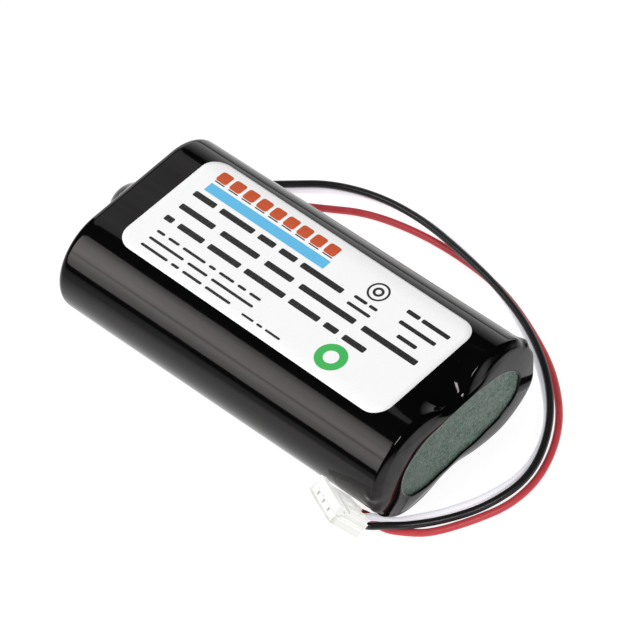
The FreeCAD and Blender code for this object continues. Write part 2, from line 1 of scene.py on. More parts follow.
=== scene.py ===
"""Looks of the two-cell battery pack: shrink film, printed label, papers, wires and plug.

Positions are in the CAD frame: +X towards the end with the green paper, +Y across, +Z up.
Lengths are in millimetres and are multiplied by MM. The camera, the lights, the floor's shading and
the cords' declared lengths are in metres.
"""
import json
import math

import bpy
import bmesh
from mathutils import Euler, Matrix, Vector, noise


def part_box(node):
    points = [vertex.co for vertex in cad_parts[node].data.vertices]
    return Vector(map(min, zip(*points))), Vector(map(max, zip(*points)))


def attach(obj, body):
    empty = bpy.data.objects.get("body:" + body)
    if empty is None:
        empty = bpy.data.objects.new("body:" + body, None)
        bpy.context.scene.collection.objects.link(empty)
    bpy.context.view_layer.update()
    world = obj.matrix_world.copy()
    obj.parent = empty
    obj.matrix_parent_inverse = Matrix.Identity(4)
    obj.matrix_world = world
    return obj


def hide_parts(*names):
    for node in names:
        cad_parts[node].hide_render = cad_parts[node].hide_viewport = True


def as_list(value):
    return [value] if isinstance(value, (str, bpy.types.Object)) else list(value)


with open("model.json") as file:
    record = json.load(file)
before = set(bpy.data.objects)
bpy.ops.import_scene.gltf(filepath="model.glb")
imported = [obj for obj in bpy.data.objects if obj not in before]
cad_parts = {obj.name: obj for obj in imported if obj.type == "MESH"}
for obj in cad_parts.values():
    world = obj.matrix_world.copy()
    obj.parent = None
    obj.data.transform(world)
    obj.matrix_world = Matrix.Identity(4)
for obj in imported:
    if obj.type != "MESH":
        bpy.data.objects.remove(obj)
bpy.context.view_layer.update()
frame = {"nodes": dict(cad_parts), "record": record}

MM = 0.001
WHITE = (1.0, 1.0, 1.0, 1.0)

# -------- sizes from the frame, in mm
PAPER_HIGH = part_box("end_paper")[1] / MM
CELL_LOW, CELL_HIGH = [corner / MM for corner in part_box("cell_a_jacket")]
FILM = 0.22                                  # thickness of the film
CELL_R = (CELL_HIGH.z - CELL_LOW.z) / 2
FILM_R = CELL_R + 0.35                       # the film's outer radius round a cell
AXIS_Y = -(CELL_HIGH.y + CELL_LOW.y) / 2     # the cells' axes lie at +AXIS_Y and -AXIS_Y
AXIS_Z = FILM_R                              # the film rests on the table
HALF_LENGTH = PAPER_HIGH.x + 0.32            # half the film's length; its lip lies on the paper
END_ROUND = 1.7                              # the far end's rounding


# -------- mesh helpers
def link_object(name, data):
    """An object in the scene."""
    obj = bpy.data.objects.new(name, data)
    bpy.context.collection.objects.link(obj)
    return obj


def new_piece(name, data, slot):
    """A piece of the visual model, on the pack's only body."""
    obj = link_object(name, data)
    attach(obj, "root")
    return obj


def mesh_of(name, points, faces, smooth=True):
    """A mesh from points in mm."""
    mesh = bpy.data.meshes.new(name)
    mesh.from_pydata([Vector(p) * MM for p in points], [], faces)
    mesh.validate()
    if smooth:
        mesh.polygons.foreach_set("use_smooth", [True] * len(mesh.polygons))
    return mesh


def smooth_step(low, high, value):
    """0 up to low, 1 from high on, and a smooth rise between them."""
    t = min(1.0, max(0.0, (value - low) / (high - low)))
    return t * t * (3 - 2 * t)


def bell(value, centre, width):
    """1 at the centre, falling smoothly to 0 on both sides."""
    return math.exp(-((value - centre) / width) ** 2)


def lerp(a, b, t):
    """From a at t = 0 to b at t = 1, in a straight line."""
    return a + (b - a) * t


def turn_between(a, b):
    """The smallest signed turn from b to a, in degrees."""
    return (a - b + 180) % 360 - 180


# -------- outlines across the pack
CENTRE_Y = 0.5                               # directions are measured round this point
CENTRE_Z = 9.0
FURTHEST = 60.0                              # further than any outline
HALVINGS = 40                                # steps of a search along a direction


def distance_to_edge(is_inside, angle):
    """Distance from the centre to the edge of a shape, in a direction across the pack."""
    dy = math.cos(angle)
    dz = math.sin(angle)
    low = 0.0
    high = FURTHEST
    for _ in range(HALVINGS):
        mid = (low + high) / 2
        if is_inside(CENTRE_Y + mid * dy, CENTRE_Z + mid * dz):
            low = mid
        else:
            high = mid
    return low


def round_ended(y, z, half, radius):
    """Whether (y, z) lies in a round-ended shape about (0, 0) whose middle line runs half each way."""
    return math.hypot(max(0.0, abs(y) - half), z) < radius


def stadium(angle, radius):
    """Distance to the outline round both cells."""
    return distance_to_edge(lambda y, z: round_ended(y, z - AXIS_Z, AXIS_Y, radius), angle)


def outline(points):
    """A smooth closed outline through (y, z) points, as a function of the direction."""
    polar = []
    for y, z in points:
        dy = y - CENTRE_Y
        dz = z - CENTRE_Z
        polar.append((math.atan2(dz, dy) % math.tau, math.hypot(dy, dz)))
    polar.sort()
    count = len(polar)

    def distance(angle):
        angle %= math.tau
        index = 0
        while index < count and polar[index][0] <= angle:
            index += 1
        ring = []
        for step in range(-2, 2):
            place = index + step
            turn, radius = polar[place % count]
            ring.append((turn + math.tau * (place // count), radius))
        (a0, r0), (a1, r1), (a2, r2), (a3, r3) = ring
        t = (angle - a1) / (a2 - a1)
        slope1 = (r2 - r0) / (a2 - a0) * (a2 - a1)
        slope2 = (r3 - r1) / (a3 - a1) * (a2 - a1)
        return ((2 * t ** 3 - 3 * t ** 2 + 1) * r1 + (t ** 3 - 2 * t ** 2 + t) * slope1
                + (-2 * t ** 3 + 3 * t ** 2) * r2 + (t ** 3 - t ** 2) * slope2)

    return distance


# The near end: where the film folds over, and the edge of its opening over the paper.
CREASE = outline([
    (18.1, 8.8), (18.1, 11.2), (17.3, 13.7), (14.0, 16.4), (11.3, 17.3), (9.0, 17.1), (5.6, 15.7),
    (1.5, 15.4), (-2.0, 15.9), (-5.9, 17.5), (-8.5, 17.9), (-11.4, 17.7), (-13.8, 16.5),
    (-15.7, 14.5), (-17.0, 11.7), (-17.5, 8.3), (-17.1, 5.9), (-13.1, 1.8), (-8.2, 1.3),
    (-4.2, 1.9), (0.2, 1.9), (5.2, 1.0), (12.1, 1.2), (17.5, 4.7),
])
OPENING = outline([
    (14.5, 9.8), (12.9, 12.2), (10.8, 13.6), (6.3, 14.7), (1.1, 15.2), (-4.1, 14.8), (-9.4, 13.7),
    (-12.5, 11.6), (-13.4, 8.5), (-11.9, 5.1), (-8.5, 3.7), (-4.3, 3.6), (0.6, 3.7), (5.9, 3.7),
    (9.5, 4.0), (13.5, 6.1), (14.4, 8.4),
])
# The far end's opening: a round-ended slot.
BACK_OPENING_R = 4.2
BACK_OPENING_HALF = 8.5                      # half the length of its middle line
BACK_OPENING_Z = 6.9                         # the height of its middle line


def back_opening(angle):
    """Distance to the edge of the opening at the circuit-board end."""
    return distance_to_edge(
        lambda y, z: round_ended(y, z - BACK_OPENING_Z, BACK_OPENING_HALF, BACK_OPENING_R), angle)


# -------- shrink film
TAPER_X = 27.0                    # where the film starts to draw in towards the near end
SHOULDER_X = 33.4                 # where it starts to turn over the near end
CREASE_X = (34.55, 34.30)         # where it folds, on the far side and on the near side
LIP_X = 34.85                     # where its lip ends on the paper
AROUND = 360                      # points in each ring
FAR_FACE_STEPS = 12
FAR_ROUND_STEPS = 10
BARREL_STEPS = 64
TAPER_STEPS = 26
TURN_STEPS = 12
LIP_STEPS = 14
RIPPLE = 0.018                    # unevenness of the film between the ends
RIPPLE_SCALE = (0.05, 0.09)       # how fast it changes, for each mm and for each point round
TIGHT_GAP = 0.02                  # between each cell and the film at the shoulder
SHOULDER_OVER_CREASE = 0.4        # the least that the shoulder stands outside the fold
SHOULDER_BLEND = 1.2              # softness of the dip between the cells
TAPER_POWER = 2.6                 # the higher, the later the film draws in
CREASE_SHARE = 0.6                # share of the film's thickness that the inner face keeps in its fold
FOLD_START = 0.78                 # how far through the turn the sharp fold starts
FOLD_RISE = 0.03                  # how far forward it rounds, as a share of the turn
PLEATS = [                        # direction in degrees, width in degrees, depth in mm (outward if negative)
    (181.5, 1.6, 0.30), (186.0, 2.0, -0.36), (177.0, 1.8, -0.30), (17.0, 1.3, -0.40),
    (21.5, 1.8, 0.22), (27.0, 2.4, -0.10), (12.0, 1.6, 0.12), (128.0, 1.2, 0.06), (141.0, 1.6, -0.05),
]
BULGE = Vector((-33.6, -0.5, 13.1))          # the round over the wires' bend
BULGE_R = 4.7
BULGE_REACH = 40.0                           # the film is flat this far outside it, in square mm
SKIRT_RISE = 1.1                             # how far the film stands out at the bulge's foot
SKIRT_START = 3.2                            # distance from the middle where that starts to fall
SKIRT_FALL = 1.5                             # distance over which it falls
BULGE_BLEND = 0.35                           # softness of the join of bulge and skirt
BULGE_SINK = 0.24                            # what the soft join adds, taken off again


def pleats(angle):
    """Depth of the pleats in a direction."""
    degrees = math.degrees(angle)
    return sum(depth * bell(turn_between(degrees, place), 0.0, width)
               for place, width, depth in PLEATS)


def bulge_height(y, z):
    """How far the wires' bend lifts the film at the board end."""
    inside = BULGE_R ** 2 - (y - BULGE.y) ** 2 - (z - BULGE.z) ** 2
    if inside <= -BULGE_REACH:
        return 0.0
    rise = math.sqrt(max(0.0, inside)) - (BULGE.x + HALF_LENGTH)
    off = max(0.0, math.hypot(y - BULGE.y, z - BULGE.z) - SKIRT_START)
    skirt = SKIRT_RISE * math.exp(-off / SKIRT_FALL)
    both = math.log(math.exp(rise / BULGE_BLEND) + math.exp(skirt / BULGE_BLEND)) * BULGE_BLEND
    return max(0.0, both - BULGE_SINK)


def crease_x(angle):
    """Where the film folds at the near end, in a direction."""
    degrees = math.degrees(angle)
    near = smooth_step(60.0, 110.0, degrees) * (1.0 - smooth_step(250.0, 300.0, degrees))
    return lerp(*CREASE_X, near)


def sharpness(angle):
    """1 along the top, where the film folds sharply, and 0 below, where it turns over roundly."""
    degrees = math.degrees(angle)
    return smooth_step(9.0, 19.0, degrees) * (1.0 - smooth_step(178.0, 190.0, degrees))


def across(x, distance, angle):
    """The point at x along the pack and at a distance from the centre, in a direction."""
    return Vector((x, CENTRE_Y + distance * math.cos(angle), CENTRE_Z + distance * math.sin(angle)))


def round_cells(angle, radius):
    """Distance from the centre to the outline of two rounds, one on each cell's axis."""
    dy = math.cos(angle)
    dz = math.sin(angle)
    furthest = 0.0
    for side in (-1, 1):
        oy = CENTRE_Y - side * AXIS_Y
        oz = CENTRE_Z - AXIS_Z
        along = oy * dy + oz * dz
        inside = along ** 2 - (oy ** 2 + oz ** 2 - radius ** 2)
        if inside > 0:
            furthest = max(furthest, -along + math.sqrt(inside))
    return furthest


def soft_max(a, b, width):
    """The larger of a and b, with a smooth change where they meet."""
    return (a + b + math.sqrt((a - b) ** 2 + width ** 2)) / 2


class Skin:
    """One face of the film: rings of points from the board end's opening to the paper end's."""

    def __init__(self, inset):
        """inset is how far this face lies inside the film's outer one."""
        self.inset = inset
        self.angles = [math.tau * i / AROUND for i in range(AROUND)]
        self.body = [stadium(angle, FILM_R - inset) for angle in self.angles]
        self.crease = [CREASE(angle) - inset * CREASE_SHARE for angle in self.angles]
        self.shoulder = [self.shoulder_at(i) for i in range(AROUND)]

    def shoulder_at(self, i):
        """The film's distance where it starts to turn over the near end: tight on both cells."""
        tight = round_cells(self.angles[i], CELL_R + TIGHT_GAP + FILM - self.inset)
        return min(self.body[i], soft_max(tight, self.crease[i] + SHOULDER_OVER_CREASE, SHOULDER_BLEND))

    def lifted(self, place, share):
        """The place, lifted by a share of the bulge over the wires' bend."""
        if place.z > CENTRE_Z:
            place.x -= bulge_height(place.y, place.z) * share
        return place

    def far_face(self):
        """The flat board end, from its opening outwards."""
        slot = [back_opening(angle) for angle in self.angles]
        face = [stadium(angle, FILM_R - END_ROUND) for angle in self.angles]
        for step in range(FAR_FACE_STEPS):
            t = step / FAR_FACE_STEPS
            yield [self.lifted(across(self.inset - HALF_LENGTH, lerp(a, b, t), angle), 1.0)
                   for a, b, angle in zip(slot, face, self.angles)]

    def far_round(self):
        """The rounding from the board end to the barrel."""
        for step in range(FAR_ROUND_STEPS + 1):
            turn = math.pi / 2 * (1 - step / FAR_ROUND_STEPS)
            out = (END_ROUND - self.inset) * math.sin(turn)
            drop = (END_ROUND - self.inset) * (1 - math.cos(turn))
            x = -HALF_LENGTH + END_ROUND - out
            yield [self.lifted(across(x, stadium(angle, FILM_R - self.inset - drop), angle), math.sin(turn))
                   for angle in self.angles]

    def barrel(self):
        """The long part, slightly uneven."""
        for step in range(1, BARREL_STEPS):
            x = lerp(-HALF_LENGTH + END_ROUND, TAPER_X, step / BARREL_STEPS)
            row = []
            for i, angle in enumerate(self.angles):
                place = Vector((x * RIPPLE_SCALE[0], i * RIPPLE_SCALE[1], self.inset))
                ripple = RIPPLE * noise.noise(place)
                row.append(across(x, self.body[i] + ripple, angle))
            yield row

    def taper(self):
        """The part that draws in round each cell towards the near end."""
        for step in range(TAPER_STEPS + 1):
            t = step / TAPER_STEPS
            x = lerp(TAPER_X, SHOULDER_X - self.inset, t)
            ease = t ** TAPER_POWER * (1.5 - 0.5 * t)
            row = []
            for i, angle in enumerate(self.angles):
                dent = pleats(angle) * smooth_step(0.7, 1.0, t)
                row.append(across(x, lerp(self.body[i], self.shoulder[i], ease) - dent, angle))
            yield row

    def turn(self):
        """The turn over the near end, up to the fold."""
        for step in range(1, TURN_STEPS + 1):
            t = step / TURN_STEPS
            quarter = t * math.pi / 2
            fold = math.pi / 2 * smooth_step(FOLD_START, 1.0, t)
            row = []
            for i, angle in enumerate(self.angles):
                sharp = sharpness(angle)
                along = lerp(math.sin(quarter), t + FOLD_RISE * math.sin(fold), sharp)
                down = lerp(1 - math.cos(quarter), t ** 1.5, sharp)
                x = lerp(SHOULDER_X, crease_x(angle), min(1.0, along)) - self.inset
                distance = lerp(self.shoulder[i], self.crease[i], down)
                row.append(across(x, distance - pleats(angle) * (1 - 0.5 * t), angle))
            yield row

    def lip(self):
        """The lip on the paper, from the fold to the edge of the opening."""
        for step in range(1, LIP_STEPS + 1):
            t = step / LIP_STEPS
            fade = (1 - smooth_step(0.0, 0.5, t)) * 0.5
            row = []
            for i, angle in enumerate(self.angles):
                x = lerp(crease_x(angle), LIP_X, 1 - (1 - t) ** 2) - self.inset
                distance = lerp(self.crease[i] - pleats(angle) * fade, OPENING(angle), t)
                row.append(across(x, distance, angle))
            yield row

    def rings(self):
        """Every ring, in order."""
        return [*self.far_face(), *self.far_round(), *self.barrel(), *self.taper(), *self.turn(),
                *self.lip()]


def build_film():
    """The film's outside and inside, joined at the edges of both openings."""
    rings = Skin(0.0).rings() + Skin(FILM).rings()[::-1]
    points = [p for row in rings for p in row]
    faces = []
    for a in range(len(rings)):
        b = (a + 1) % len(rings)
        for i in range(AROUND):
            j = (i + 1) % AROUND
            faces.append((a * AROUND + i, a * AROUND + j, b * AROUND + j, b * AROUND + i))
    mesh = mesh_of("film_sleeve", points, faces)
    film = new_piece("film_sleeve", mesh, "film")
    film.data.materials.append(film_material())
    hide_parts("shrink_sleeve")


# -------- material helper
class Shader:
    """A node tree built step by step on a Principled shader, in the object's own coordinates."""

    def __init__(self, name, colour, roughness, metallic=0.0):
        self.material = bpy.data.materials.new(name)
        self.material.use_nodes = True
        self.tree = self.material.node_tree
        self.shader = self.tree.nodes["Principled BSDF"]
        self.material.diffuse_color = (*colour, 1.0)
        self.shader.inputs["Base Color"].default_value = (*colour, 1.0)
        self.shader.inputs["Roughness"].default_value = roughness
        self.shader.inputs["Metallic"].default_value = metallic
        self.place = self.tree.nodes.new("ShaderNodeTexCoord").outputs["Object"]
        self.height = None

    def node(self, kind, **sockets):
        """A new node, with values or links for the named inputs."""
        made = self.tree.nodes.new(kind)
        for name, value in sockets.items():
            self.put(made.inputs[name.replace("_", " ")], value)
        return made

    def put(self, socket, value):
        """Links another node's output to an input, or sets its value."""
        if isinstance(value, bpy.types.NodeSocket):
            self.tree.links.new(value, socket)
        else:
            socket.default_value = value

    def stretch(self, x, y, z):
        """The object's coordinates, scaled along each axis."""
        mapping = self.node("ShaderNodeMapping", Vector=self.place)
        mapping.inputs["Scale"].default_value = (x, y, z)
        return mapping.outputs["Vector"]

    def noise(self, size, detail=4.0, roughness=0.55, where=None, distortion=0.0):
        """Fractal noise whose features are about size mm across."""
        made = self.node("ShaderNodeTexNoise", Vector=where or self.place, Scale=1.0 / (size * MM),
                         Detail=detail, Roughness=roughness, Distortion=distortion)
        return made.outputs["Fac"]

    def specks(self, size, share):
        """Small round dots, 1 at the middle of each and 0 between them."""
        made = self.node("ShaderNodeTexVoronoi", Vector=self.place, Scale=1.0 / (size * MM))
        return self.ramp(made.outputs["Distance"], [(0.0, 1.0), (share, 0.0)])

    def ramp(self, value, stops):
        """A grey level that runs through the stops as the value rises from 0 to 1."""
        made = self.node("ShaderNodeValToRGB", Fac=value)
        set_stops(made, stops)
        return made.outputs["Color"]

    def map(self, value, low, high, to_low, to_high):
        """Carries low..high over to to_low..to_high, and holds the ends beyond them."""
        made = self.node("ShaderNodeMapRange", Value=value, From_Min=low, From_Max=high,
                         To_Min=to_low, To_Max=to_high)
        return made.outputs["Result"]

    def axis(self, letter):
        """One of the object's coordinates."""
        return self.node("ShaderNodeSeparateXYZ", Vector=self.place).outputs[letter]

    def mix(self, share, a, b):
        """The colour a where share is 0, and b where it is 1."""
        made = self.tree.nodes.new("ShaderNodeMix")
        made.data_type = "RGBA"
        self.put(made.inputs["Factor"], share)
        self.put(made.inputs["A"], a)
        self.put(made.inputs["B"], b)
        return made.outputs["Result"]

    def vector_math(self, operation, a, b=(0.0, 0.0, 0.0)):
        """A vector operation whose result is one number."""
        made = self.tree.nodes.new("ShaderNodeVectorMath")
        made.operation = operation
        self.put(made.inputs[0], a)
        self.put(made.inputs[1], b)
        return made.outputs["Value"]

    def math(self, operation, a, b=0.0, c=0.0):
        """An operation on one, two or three numbers."""
        made = self.tree.nodes.new("ShaderNodeMath")
        made.operation = operation
        self.put(made.inputs[0], a)
        self.put(made.inputs[1], b)
        self.put(made.inputs[2], c)
        return made.outputs["Value"]

    def colour(self, value):
        """The shader's base colour."""
        self.put(self.shader.inputs["Base Color"], value)
        return self

    def rough(self, value, low, high):
        """Roughness from low to high as the value rises from 0 to 1."""
        self.put(self.shader.inputs["Roughness"], self.map(value, 0.0, 1.0, low, high))
        return self

    def bump(self, value, depth, strength=1.0):
        """Adds relief of about depth mm."""
        made = self.node("ShaderNodeBump", Height=value, Strength=strength, Distance=depth * MM)
        if self.height is not None:
            self.tree.links.new(self.height, made.inputs["Normal"])
        self.height = made.outputs["Normal"]
        self.tree.links.new(self.height, self.shader.inputs["Normal"])
        return self

    def set(self, **sockets):
        """Values or links for the shader's own named inputs."""
        for name, value in sockets.items():
            self.put(self.shader.inputs[name.replace("_", " ")], value)
        return self


def set_stops(ramp, stops):
    """Gives a colour ramp its stops, each with a place and a level of grey."""
    elements = ramp.color_ramp.elements
    while len(elements) < len(stops):
        elements.new(0.5)
    for element, (at, level) in zip(elements, stops):
        element.position = at
        element.color = grey(level)


def grey(level):
    return (level, level, level, 1.0)


def rgb(red, green, blue):
    return (red, green, blue, 1.0)


# -------- materials
FILM_CREASE_Z = 16.6              # height of the faint crease along both sides


def film_material():
    """Black gloss film, drawn along its length, with a little dust on it."""
    s = Shader("glossy_film", (0.003, 0.003, 0.003), 0.06)
    dust = s.specks(1.7, 0.035)
    drawn = s.noise(0.5, 3.0, where=s.stretch(0.05, 1.0, 1.0))
    s.colour(s.mix(dust, rgb(0.0022, 0.0022, 0.0024), rgb(0.05, 0.046, 0.046)))
    s.rough(s.noise(3.0, 5.0), 0.035, 0.11)
    s.bump(drawn, 0.002, 0.25)
    s.bump(s.noise(6.0, 2.0), 0.03, 0.25)
    streaks = s.noise(2.4, 3.0, 0.5, where=s.stretch(0.035, 1.0, 1.0))
    level = s.map(streaks, 0.3, 0.7, 0.33, 0.46)
    # the crease left where the film's tube lay flat on its roll
    off_crease = s.math("ABSOLUTE", s.math("SUBTRACT", s.axis("Z"), FILM_CREASE_Z * MM))
    crease = s.map(off_crease, 0.05 * MM, 0.22 * MM, 0.72, 1.0)
    s.set(IOR=1.43, Specular_IOR_Level=s.math("MULTIPLY", level, crease), Specular_Tint=rgb(1.0, 0.93, 0.91))
    return s.material


def label_material():
    """White coated paper."""
    s = Shader("label_paper", (0.93, 0.93, 0.93), 0.32)
    s.colour(s.mix(s.noise(0.35, 6.0), rgb(0.915, 0.915, 0.92), rgb(0.965, 0.965, 0.965)))
    s.rough(s.noise(0.8, 4.0), 0.25, 0.42)
    s.bump(s.noise(0.12, 4.0), 0.006, 0.3)
    return s.material


def ink_material(name, red, green, blue):
    """Ink that lets some paper show where it is thin."""
    s = Shader(name, (red, green, blue), 0.3)
    worn = s.ramp(s.noise(0.22, 5.0), [(0.32, 1.0), (0.42, 0.0)])
    thin = rgb(lerp(red, 0.9, 0.10), lerp(green, 0.9, 0.10), lerp(blue, 0.9, 0.10))
    s.colour(s.mix(worn, rgb(red, green, blue), thin))
    s.rough(s.noise(0.4, 3.0), 0.22, 0.4)
    s.bump(s.noise(0.10, 3.0), 0.003, 0.3)
    return s.material


def fish_paper_material():
    """Grey-green pressed paper: short dark and pale fibres under a cloudy tone, with painted shade towards
    -Y.
    """
    s = Shader("fish_paper", (0.10, 0.15, 0.12), 0.6)
    fibres = s.noise(0.75, 2.5, 0.6, distortion=2.0)
    fleck = s.noise(0.45, 2.0, 0.6, distortion=1.0)
    cloud = s.noise(5.0, 3.0)
    mottled = s.mix(s.ramp(fibres, [(0.40, 0.0), (0.60, 1.0)]), rgb(0.006, 0.036, 0.024),
                    rgb(0.125, 0.205, 0.160))
    greyer = s.mix(s.ramp(cloud, [(0.42, 0.0), (0.62, 1.0)]), mottled,
                   s.mix(0.45, mottled, rgb(0.155, 0.165, 0.150)))
    flecked = s.mix(s.ramp(fleck, [(0.50, 0.0), (0.62, 0.8)]), greyer, rgb(0.205, 0.275, 0.230))
    # painted shade: the paper darkens towards -Y, standing in for less light falling on that side of the end
    painted_shade = s.map(s.axis("Y"), -14 * MM, 14 * MM, 0.45, 0.0)
    s.colour(s.mix(painted_shade, flecked, rgb(0.020, 0.045, 0.034)))
    s.rough(fibres, 0.38, 0.70)
    s.bump(fibres, 0.06, 0.6)
    s.bump(fleck, 0.03, 0.6)
    return s.material


def wire_material(name, low, high, rough_low, rough_high, painted_glow=0.0):
    """Matt insulation, with an even painted glow that brightens a pale one where it lies in shade."""
    s = Shader(name, high, rough_low)
    s.colour(s.mix(s.noise(1.4, 4.0), rgb(*low), rgb(*high)))
    s.rough(s.noise(0.5, 4.0), rough_low, rough_high)
    s.bump(s.noise(0.22, 4.0), 0.012, 0.35)
    s.bump(s.specks(0.9, 0.07), 0.015, 0.4)
    # painted light: the insulation glows evenly in its own colour
    s.set(Emission_Color=rgb(*high), Emission_Strength=painted_glow)
    return s.material


def nylon_material():
    """White nylon, with painted light glowing from the faces turned up in the plug's axes."""
    s = Shader("plug_nylon", (0.86, 0.87, 0.84), 0.38)
    s.colour(s.mix(s.noise(1.6, 4.0), rgb(0.72, 0.72, 0.70), rgb(0.79, 0.79, 0.77)))
    s.rough(s.noise(0.3, 4.0), 0.30, 0.50)
    s.bump(s.noise(0.14, 4.0), 0.010, 0.4)
    # painted light: an emission that grows as a face turns up in the plug's axes, so the shaded top reads
    # bright
    normal = s.node("ShaderNodeNewGeometry").outputs["Normal"]
    facing = s.vector_math("DOT_PRODUCT", normal, PLUG_TURN.to_matrix() @ Vector((0, 0, 1)))
    painted_glow = s.map(facing, -0.4, 1.0, 0.0, 0.54)
    s.set(Emission_Color=rgb(1.0, 0.99, 0.96), Emission_Strength=painted_glow)
    return s.material


def metal_material(name, low, high, rough_low, rough_high, grain=(1.0, 1.0, 1.0)):
    """Bare metal, brushed along the axis whose grain is smallest."""
    s = Shader(name, high, rough_low, 1.0)
    brushed = s.noise(0.12, 5.0, where=s.stretch(*grain))
    s.colour(s.mix(s.noise(1.8, 5.0), rgb(*low), rgb(*high)))
    s.rough(brushed, rough_low, rough_high)
    s.bump(brushed, 0.006, 0.3)
    return s.material


def plastic_material(name, low, high, rough_low, rough_high, size=0.4, depth=0.01):
    """A matt, slightly uneven surface whose grain is size mm across."""
    s = Shader(name, high, rough_low)
    s.colour(s.mix(s.noise(size * 3, 5.0), rgb(*low), rgb(*high)))
    s.rough(s.noise(size, 4.0), rough_low, rough_high)
    s.bump(s.noise(size * 0.5, 4.0), depth, 0.4)
    return s.material


def node_materials():
    """One material for each material slot whose CAD nodes stay as they are."""
    return {
        "fish_paper": fish_paper_material(),
        "nickel": metal_material("nickel_strip", (0.52, 0.50, 0.46), (0.68, 0.66, 0.61), 0.22, 0.42,
                                 (1.0, 0.08, 1.0)),
        "glue": plastic_material("set_glue", (0.78, 0.74, 0.64), (0.90, 0.88, 0.80), 0.25, 0.45),
        "board": plastic_material("board_mask", (0.02, 0.13, 0.06), (0.035, 0.20, 0.09), 0.22, 0.38, 0.6),
        "chip_black": plastic_material("moulded_epoxy", (0.018, 0.018, 0.019), (0.040, 0.040, 0.041),
                                       0.45, 0.65, 0.2),
        "chip_ceramic": plastic_material("sintered_ceramic", (0.30, 0.23, 0.16), (0.46, 0.37, 0.27),
                                         0.35, 0.55, 0.2),
        "solder": metal_material("solder", (0.62, 0.62, 0.60), (0.80, 0.80, 0.78), 0.12, 0.35),
        "contact": metal_material("contact_strip", (0.52, 0.40, 0.24), (0.72, 0.59, 0.39), 0.20, 0.38,
                                  (0.2, 1.0, 1.0)),
        "steel": metal_material("plated_steel", (0.56, 0.56, 0.54), (0.72, 0.72, 0.70), 0.16, 0.34,
                                (0.1, 1.0, 1.0)),
        "jacket": plastic_material("cell_wrap", (0.03, 0.15, 0.30), (0.05, 0.22, 0.42), 0.18, 0.32, 2.0),
        "washer_paper": plastic_material("pressed_board", (0.70, 0.67, 0.60), (0.84, 0.82, 0.76),
                                         0.60, 0.85, 0.15, 0.03),
        "electrode": plastic_material("wound_foil", (0.05, 0.05, 0.05), (0.12, 0.12, 0.12), 0.40, 0.60),
        "gasket": plastic_material("gasket", (0.74, 0.80, 0.83), (0.86, 0.90, 0.92), 0.30, 0.45),
        "vent_aluminium": metal_material("pressed_aluminium", (0.72, 0.72, 0.72), (0.86, 0.86, 0.86),
                                         0.18, 0.35),
    }


# -------- label
LABEL_LENGTH = 57.0
LABEL_WIDTH = 23.7
LABEL_CORNER = 3.2
LABEL_THICK = 0.08
LABEL_TURN = math.radians(-0.89)
LABEL_X = 0.45
LABEL_Y = 0.67
LABEL_GAP = 0.002                 # between the film and the label
LABEL_EDGE = 0.02                 # rounding of the label's edge
LABEL_CORNER_STEPS = 14
LABEL_RINGS = 26
LABEL_STRETCH = 0.8               # longest step along its edge
EDGE_SHRINK = 0.02                # how much a rounded edge draws the outline in, for each mm of it
INK = 0.016                       # how far the ink's top stands over the label
INK_SINK = 0.01                   # how far the ink's underside lies in the label
BAR_CORNER_STEPS = 4
BAR_RINGS = 2
BAR_STRETCH = 1.2                 # longest step along a bar's edge
RING_STEPS = 48


def film_top(y):
    """Height of the film's top at y."""
    out = max(0.0, abs(y) - AXIS_Y)
    return AXIS_Z + math.sqrt(max(0.0, FILM_R ** 2 - out ** 2))


def on_label(u, v, lift):
    """A point at u along the label and v across it, lift mm over the film."""
    x = LABEL_X + u * math.cos(LABEL_TURN) - v * math.sin(LABEL_TURN)
    y = LABEL_Y + u * math.sin(LABEL_TURN) + v * math.cos(LABEL_TURN)
    return Vector((x, y, film_top(y) + lift))


def rounded_rectangle(half_u, half_v, corner, steps):
    """Outline points of a rectangle round (0, 0), with steps points round each corner."""
    points = []
    for index, (su, sv) in enumerate(((1, 1), (-1, 1), (-1, -1), (1, -1))):
        for step in range(steps + 1):
            angle = math.pi / 2 * (index + step / steps)
            points.append((su * (half_u - corner) + corner * math.cos(angle),
                           sv * (half_v - corner) + corner * math.sin(angle)))
    return points


def fill_edges(points, longest):
    """The outline's points, with more on its long straight stretches."""
    out = []
    for (u0, v0), (u1, v1) in zip(points, points[1:] + points[:1]):
        count = max(1, math.ceil(math.hypot(u1 - u0, v1 - v0) / longest))
        out += [(lerp(u0, u1, k / count), lerp(v0, v1, k / count)) for k in range(count)]
    return out


def sheet_on_label(rim, hub, low, high, rings, edge=0.0):
    """A thin flat piece on the label: rings that shrink from the rim to its hub, and its edge."""
    points = []
    faces = []
    count = len(rim)
    levels = [(1.0, low), (1.0, high - edge)]
    if edge:
        levels.append((1.0 - edge * EDGE_SHRINK, high))
    levels += [(1.0 - k / rings, high) for k in range(1, rings)]
    for share, lift in levels:
        points += [on_label(hub[0] + (u - hub[0]) * share, hub[1] + (v - hub[1]) * share, lift)
                   for u, v in rim]
    points.append(on_label(hub[0], hub[1], high))
    for level in range(len(levels) - 1):
        for i in range(count):
            j = (i + 1) % count
            faces.append((level * count + i, level * count + j,
                          (level + 1) * count + j, (level + 1) * count + i))
    last = (len(levels) - 1) * count
    faces += [(last + i, last + (i + 1) % count, len(points) - 1) for i in range(count)]
    points.append(on_label(hub[0], hub[1], low))
    faces += [((i + 1) % count, i, len(points) - 1) for i in range(count)]
    return points, faces


def build_label():
    """The label without its print."""
    rim = rounded_rectangle(LABEL_LENGTH / 2, LABEL_WIDTH / 2, LABEL_CORNER, LABEL_CORNER_STEPS)
    rim = fill_edges(rim, LABEL_STRETCH)
    points, faces = sheet_on_label(rim, (0.0, 0.0), LABEL_GAP, LABEL_THICK, LABEL_RINGS, LABEL_EDGE)
    mesh = mesh_of("label_blank", points, faces)
    blank = new_piece("label_blank", mesh, "label_paper")
    blank.data.materials.append(label_material())
    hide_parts("label")


